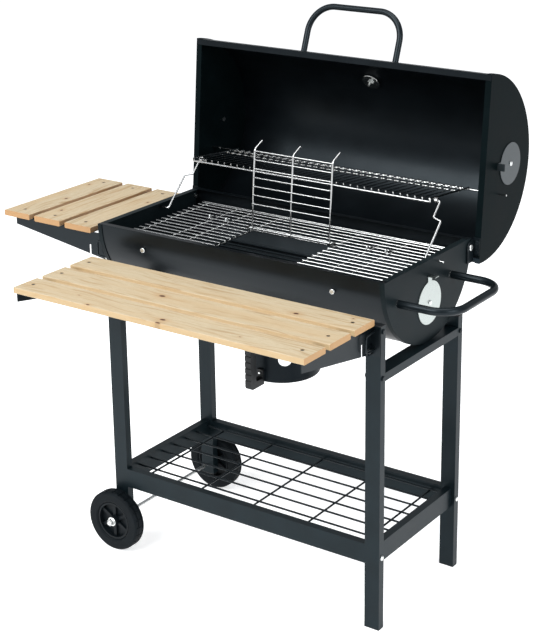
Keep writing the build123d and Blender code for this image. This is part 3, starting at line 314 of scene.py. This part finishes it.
def make_materials():
    """Every material but the pine, which is made board by board."""
    # the lid's lower corners, where lid_paint and lid_cap_paint get a painted highlight
    corner = lid_corner()
    return {
        "black_paint": paint("black_paint", (0.0026, 0.0042, 0.0054), 0.33, 0.05, 0.20),
        "body_paint": paint("body_paint", (0.0021, 0.0030, 0.0038), 0.33, 0.03, 0.17),
        "lid_paint": paint("lid_paint", (0.0019, 0.0028, 0.0037), 0.33, 0.03, 0.18, corner),
        "cap_paint": paint("cap_paint", (0.0060, 0.0095, 0.0108), 0.42, 0.0, 0.07),
        "lid_cap_paint": paint("lid_cap_paint", (0.0022, 0.0046, 0.0052), 0.42, 0.0, 0.025, corner),
        "pot_paint": paint("pot_paint", (0.0035, 0.0052, 0.0070), 0.36, 0.02, 0.10),
        "tube_paint": paint("tube_paint", (0.0042, 0.0080, 0.0100), 0.36, 0.03, 0.17),
        "zinc": metal("zinc", (0.72, 0.73, 0.72), 0.26),
        "screw_steel": metal("screw_steel", (0.20, 0.18, 0.155), 0.34),
        "vent_zinc": metal("vent_zinc", (0.50, 0.54, 0.52), 0.30, 0.08, 40),
        "dark_disc": paint("dark_disc", (0.020, 0.025, 0.027), 0.30, 0.2, 0.35),
        "plate_dark": metal("plate_dark", (0.50, 0.51, 0.50), 0.22, 0.05, 120),
        "chrome_wire": metal("chrome_wire", (0.60, 0.605, 0.60), 0.16, 0.05, 160),
        "tyre_rubber": plastic("tyre_rubber", (0.0030, 0.0050, 0.0066), 0.60, 900, 0.3 * MM, 0.10),
        "hub_plastic": plastic("hub_plastic", (0.0040, 0.0062, 0.0080), 0.46, specular=0.12),
        "plug_plastic": plastic("plug_plastic", (0.0070, 0.0080, 0.0090), 0.42, specular=0.25),
        "gauge_steel": metal("gauge_steel", (0.74, 0.75, 0.75), 0.22, 0.05, 200, (1, 1, 0.02)),
        "gauge_dial": plastic("gauge_dial", (0.86, 0.86, 0.83), 0.4, 900, 0.02 * MM),
        "gauge_ink": plastic("gauge_ink", (0.02, 0.02, 0.02), 0.5),
        "gauge_red": plastic("gauge_red", (0.55, 0.03, 0.02), 0.4),
        "gauge_glass": glass("gauge_glass"),
    }


def dress(name, material):
    """Gives a CAD node one material all over."""
    data = nodes[name].data
    data.materials.clear()
    data.materials.append(material)
    for polygon in data.polygons:
        polygon.material_index = 0


MATERIAL_OF = {
    "tube_paint": "leg_front_left leg_back_left leg_front_right leg_back_right "
                  "braces rail_front rail_back side_rails",
    "black_paint": "lower_grid shelf_clips front_brackets side_brackets push_handle lid_handle ash_collar "
                   "hinge_plates hinge_screws frame_bolts grate_hooks charcoal_grate",
    "pot_paint": "ash_pot",
    "lid_cap_paint": "lid_cap_left lid_cap_right",
    "body_paint": "bowl_shell",
    "lid_paint": "lid_shell",
    "cap_paint": "bowl_cap_left bowl_cap_right",
    "dark_disc": "lid_vent_left lid_vent_right",
    "vent_zinc": "bowl_vent_left bowl_vent_right",
    "zinc": "rail_bolts bowl_fixings lid_fixings hinge_pins shelf_pins axle_hardware ash_pot_fixings axle",
    "screw_steel": "front_shelf_screws side_shelf_screws",
    "plate_dark": "thermometer_stem",
    "chrome_wire": "cooking_grate grate_fittings grate_flap warming_rack rack_legs",
    "tyre_rubber": "tyre_front tyre_back",
    "hub_plastic": "hub_front hub_back",
    "plug_plastic": "leg_plugs ash_pot_handle",
    "gauge_steel": "thermometer_case",
    "gauge_dial": "thermometer_dial",
    "gauge_glass": "thermometer_glass",
    "gauge_red": "thermometer_needle",
}


def middle(name):
    """The middle of a CAD node's box."""
    low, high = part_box(name)
    return (low + high) / 2


EDGE_SHADE = {"front": (0.44, 0.300, 0.150), "side": (0.26, 0.125, 0.046)}     # painted shade on the boards' sawn edges, for the front and side shelves


def dress_boards():
    """Each board has its own cut of pine, with knots (x, y, size) placed from the board's middle."""
    knots = {
        "front_slat_1": [(0.245, -0.022, 0.0050), (0.37, 0.020, 0.0022)],
        "front_slat_2": [(-0.080, 0.004, 0.0056)],
        "front_slat_3": [(-0.185, -0.036, 0.0032), (0.020, -0.019, 0.0050), (0.022, -0.041, 0.0050),
                         (0.225, -0.010, 0.0018), (-0.245, 0.002, 0.0016)],
        "side_slat_1": [(0.02, 0.07, 0.0030)],
        "side_slat_2": [(-0.018, -0.11, 0.0035)],
        "side_slat_3": [(0.022, -0.02, 0.0040), (-0.02, 0.12, 0.0030)],
    }
    for k, (name, places) in enumerate(knots.items()):
        centre = middle(name)
        shelf = name.split("_")[0]
        along = "X" if shelf == "front" else "Y"
        local = [(centre.x + x, centre.y + y, size) for x, y, size in places]
        dress(name, pine("pine_" + name, along, WOOD_SEED * (k + 1), local, EDGE_SHADE[shelf]))


SHARP_ANGLE = math.radians(32)
BEVEL_ANGLE = math.radians(40)
TUBE_EDGE = 1.6 * MM            # the rounding of the leg and rail tubes


def smooth(name):
    """Shade curved CAD faces smooth and keep real edges sharp."""
    data = nodes[name].data
    data.shade_smooth()
    data.set_sharp_from_angle(angle=SHARP_ANGLE)


def soften(name, width):
    """A small bevel, so that tube edges catch the light."""
    bevel = nodes[name].modifiers.new("edge", "BEVEL")
    bevel.width = width
    bevel.segments = 2
    bevel.limit_method = "ANGLE"
    bevel.angle_limit = BEVEL_ANGLE
    bevel.use_clamp_overlap = True
    bevel.harden_normals = True


# ---- studio ----
FLOOR_GLOW = 0.55       # lifts the paper floor to white
FLOOR_HALF = 40
FLOOR_TONES = ((0.90, 0.90, 0.90), (0.93, 0.93, 0.93))
WORLD_TINT = (0.93, 0.96, 1.0, 1)
WORLD_STRENGTH = 0.50


def stage_floor():
    """A wide sheet of pale paper under the grill."""
    mesh = bpy.data.meshes.new("floor")
    corners = [(-1, -1), (1, -1), (1, 1), (-1, 1)]
    mesh.from_pydata([(x * FLOOR_HALF, y * FLOOR_HALF, 0) for x, y in corners], [], [(0, 1, 2, 3)])
    floor = bpy.data.objects.new("floor", mesh)
    bpy.context.scene.collection.objects.link(floor)
    s = Shader("floor_paper")
    mottle = s.noise(s.mapped(EVEN), 3, 3)
    s.link(s.ramp(mottle, [(0.3, FLOOR_TONES[0]), (0.7, FLOOR_TONES[1])]), s.bsdf, "Base Color")
    s.set("Roughness", 0.9)
    s.set("Specular IOR Level", 0.0)
    s.set("Emission Color", (1, 1, 1, 1))
    s.set("Emission Strength", FLOOR_GLOW)
    mesh.materials.append(s.material)


def area_light(name, place, target, size, power, tint=(1, 1, 1)):
    """A rectangular soft light, aimed at the target."""
    data = bpy.data.lights.new(name, "AREA")
    data.shape = "RECTANGLE"
    data.size, data.size_y = size
    data.energy = power
    data.color = tint
    light = bpy.data.objects.new(name, data)
    light.location = place
    light.rotation_euler = (Vector(target) - Vector(place)).to_track_quat("-Z", "Y").to_euler()
    bpy.context.scene.collection.objects.link(light)


def studio():
    """A cool even surround, a broad key from the front left, a fill from the right and a top light."""
    world = bpy.data.worlds.new("studio")
    world.use_nodes = True
    bpy.context.scene.world = world
    surround = world.node_tree.nodes["Background"]
    surround.inputs["Color"].default_value = WORLD_TINT
    surround.inputs["Strength"].default_value = WORLD_STRENGTH
    area_light("key", (-1.0, -3.7, 3.9), (0, 0, 0.7), (3.9, 2.4), 245, (0.97, 0.99, 1.0))
    area_light("fill", (4.2, -1.2, 2.4), (0, 0, 0.7), (2.0, 2.6), 100, (0.92, 0.96, 1.0))
    area_light("top", (0.2, -0.2, 4.4), (0, 0, 0.8), (3.2, 2.4), 95)
    bpy.context.scene.view_settings.view_transform = "Standard"
    bpy.context.scene.view_settings.look = "None"


# ---- small pieces that only the eye needs ----
def piece(name, mesh, material, body):
    """A new visible mesh that moves with one body."""
    obj = bpy.data.objects.new(name, mesh)
    bpy.context.scene.collection.objects.link(obj)
    mesh.materials.append(material)
    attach(obj, body)


def bars_mesh(name, bars):
    """Flat bars in one mesh, each (matrix, length, width, height), standing on the matrix's XY plane."""
    shape = bmesh.new()
    for matrix, length, width, height in bars:
        size = Matrix.Diagonal((length, width, height, 1))
        bmesh.ops.create_cube(shape, size=1, matrix=matrix @ Matrix.Translation((0, 0, height / 2)) @ size)
    mesh = bpy.data.meshes.new(name)
    shape.to_mesh(mesh)
    shape.free()
    return mesh


def islands(name):
    """(lowest, highest) corner of every separate solid in a CAD node."""
    shape = bmesh.new()
    shape.from_mesh(nodes[name].data)
    bmesh.ops.remove_doubles(shape, verts=shape.verts, dist=1e-6)
    waiting, found = set(shape.verts), []
    while waiting:
        front, members = [waiting.pop()], []
        while front:
            vert = front.pop()
            members.append(vert.co.copy())
            near = [edge.other_vert(vert) for edge in vert.link_edges]
            fresh = [v for v in near if v in waiting]
            waiting.difference_update(fresh)
            front += fresh
        found.append([Vector([pick(v[axis] for v in members) for axis in range(3)]) for pick in (min, max)])
    shape.free()
    return sorted(found, key=lambda ends: tuple(round(c, 4) for c in ends[0]))


CROSS = (4.4 * MM, 1.0 * MM, 0.12 * MM)     # length, width and height of the bars that paint a recess's shade
CROSS_TURN = 37                             # each screw stopped at its own angle, degrees
HEAD_SUNK = 3 * MM                          # what ends lower under the boards' tops is no head


def screw_recess_shades(shelf, material):
    """A black cross of painted shade on the head of every screw in a shelf's boards, standing for its cross
    recess.
    """
    bars = []
    board_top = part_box(shelf + "_slat_1")[1].z
    for k, (low, high) in enumerate(islands(shelf + "_shelf_screws")):
        if high.z < board_top - HEAD_SUNK:
            continue
        at = Vector(((low.x + high.x) / 2, (low.y + high.y) / 2, high.z))
        for quarter in (0, 90):
            turn = Matrix.Rotation(math.radians(quarter + CROSS_TURN * k), 4, "Z")
            bars.append((Matrix.Translation(at) @ turn, *CROSS))
    piece(shelf + "_screw_recess_shades", bars_mesh(shelf + "_screw_recess_shades", bars), material, shelf + "_shelf")


DIAL_TILT = 37          # the dial's normal above the horizontal, degrees
SWEEP = 270             # the needle's travel
TICKS = 40
LONG_EVERY = 8
HOT_AFTER = 28          # ticks past this one are red
LONG_TICK = (22.5 * MM, 4.2 * MM, 0.9 * MM)     # radius, length, width
SHORT_TICK = (23.3 * MM, 2.4 * MM, 0.45 * MM)
TICK_HEIGHT = 0.1 * MM
MARKS_LIFT = 0.55 * MM  # the marks lie this far out from the dial's middle
NUMBERS_LIFT = 0.05 * MM
NUMBERS_RADIUS = 16.5 * MM
NUMBER_SIZE = 5.2 * MM
NUMBER_DEPTH = 0.04 * MM
NUMBERS = 6
NUMBER_STEP = 80


def dial_marks(ink, red):
    """Ticks and plain numbers round the thermometer's dial, along the needle's travel."""
    low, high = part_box("thermometer_dial")
    tilt = math.radians(DIAL_TILT)
    out = Vector((0, math.cos(tilt), math.sin(tilt)))
    across = Vector((1, 0, 0))
    start = out.cross(across)
    centre = (low + high) / 2 + out * MARKS_LIFT

    def place(degrees, radius):
        turn = math.radians(degrees)
        ray = start * math.cos(turn) - across * math.sin(turn)
        side = out.cross(ray)
        axes = Matrix((ray, side, out)).transposed().to_4x4()
        return Matrix.Translation(centre + ray * radius) @ axes

    plain, hot = [], []
    for k in range(TICKS + 1):
        radius, length, width = SHORT_TICK if k % LONG_EVERY else LONG_TICK
        bar = (place(SWEEP * k / TICKS, radius), length, width, TICK_HEIGHT)
        (hot if k > HOT_AFTER else plain).append(bar)
    piece("dial_ticks", bars_mesh("dial_ticks", plain), ink, "lid")
    piece("dial_hot_ticks", bars_mesh("dial_hot_ticks", hot), red, "lid")
    upright = Matrix((-across, start * -1, out)).transposed().to_4x4()
    for k in range(NUMBERS):
        text = bpy.data.curves.new("dial_number_%d" % k, "FONT")
        text.body = str(NUMBER_STEP * k)
        text.size = NUMBER_SIZE
        text.extrude = NUMBER_DEPTH
        text.align_x = "CENTER"
        text.align_y = "CENTER"
        text.materials.append(ink)
        number = bpy.data.objects.new("dial_number_%d" % k, text)
        bpy.context.scene.collection.objects.link(number)
        spot = place(SWEEP * k / (NUMBERS - 1), NUMBERS_RADIUS).translation
        number.matrix_world = Matrix.Translation(spot + out * NUMBERS_LIFT) @ upright
        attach(number, "lid")


# The camera stands in front of the right corner, above the lid.
CAMERA_EYE = (2.23994, -2.99431, 2.00374)
CAMERA_AZIMUTH = 33.677
CAMERA_PITCH = 17.363
CAMERA_ROLL = -0.236
SENSOR = 36             # millimetres, as is the lens
LENS = 89.64
SHIFT = (-0.08676, -0.13332)


def camera():
    """Aims back along the azimuth and pitch, rolled a little."""
    azimuth, pitch, roll = (math.radians(a) for a in (CAMERA_AZIMUTH, CAMERA_PITCH, CAMERA_ROLL))
    level = math.cos(pitch)
    back = Vector((math.sin(azimuth) * level, -math.cos(azimuth) * level, math.sin(pitch)))
    right = Vector((math.cos(azimuth), math.sin(azimuth), 0))
    up = back.cross(right)
    turned_right = right * math.cos(roll) + up * math.sin(roll)
    turned_up = up * math.cos(roll) - right * math.sin(roll)
    data = bpy.data.cameras.new("camera")
    data.sensor_width = SENSOR
    data.lens = LENS
    data.shift_x, data.shift_y = SHIFT
    data.clip_end = 200
    eye = bpy.data.objects.new("camera", data)
    axes = Matrix((turned_right, turned_up, back)).transposed().to_4x4()
    eye.matrix_world = Matrix.Translation(CAMERA_EYE) @ axes
    bpy.context.scene.collection.objects.link(eye)
    bpy.context.scene.camera = eye


materials = make_materials()
for material_name, members in MATERIAL_OF.items():
    for member in members.split():
        dress(member, materials[material_name])
dress_boards()
for node_name in nodes:
    smooth(node_name)
for tube_name in MATERIAL_OF["tube_paint"].split():
    soften(tube_name, TUBE_EDGE)

# painted shade: a black cross stands for each screw head's cross recess
for shelf_name in ("front", "side"):
    screw_recess_shades(shelf_name, materials["gauge_ink"])
dial_marks(materials["gauge_ink"], materials["gauge_red"])

stage_floor()
studio()
camera()
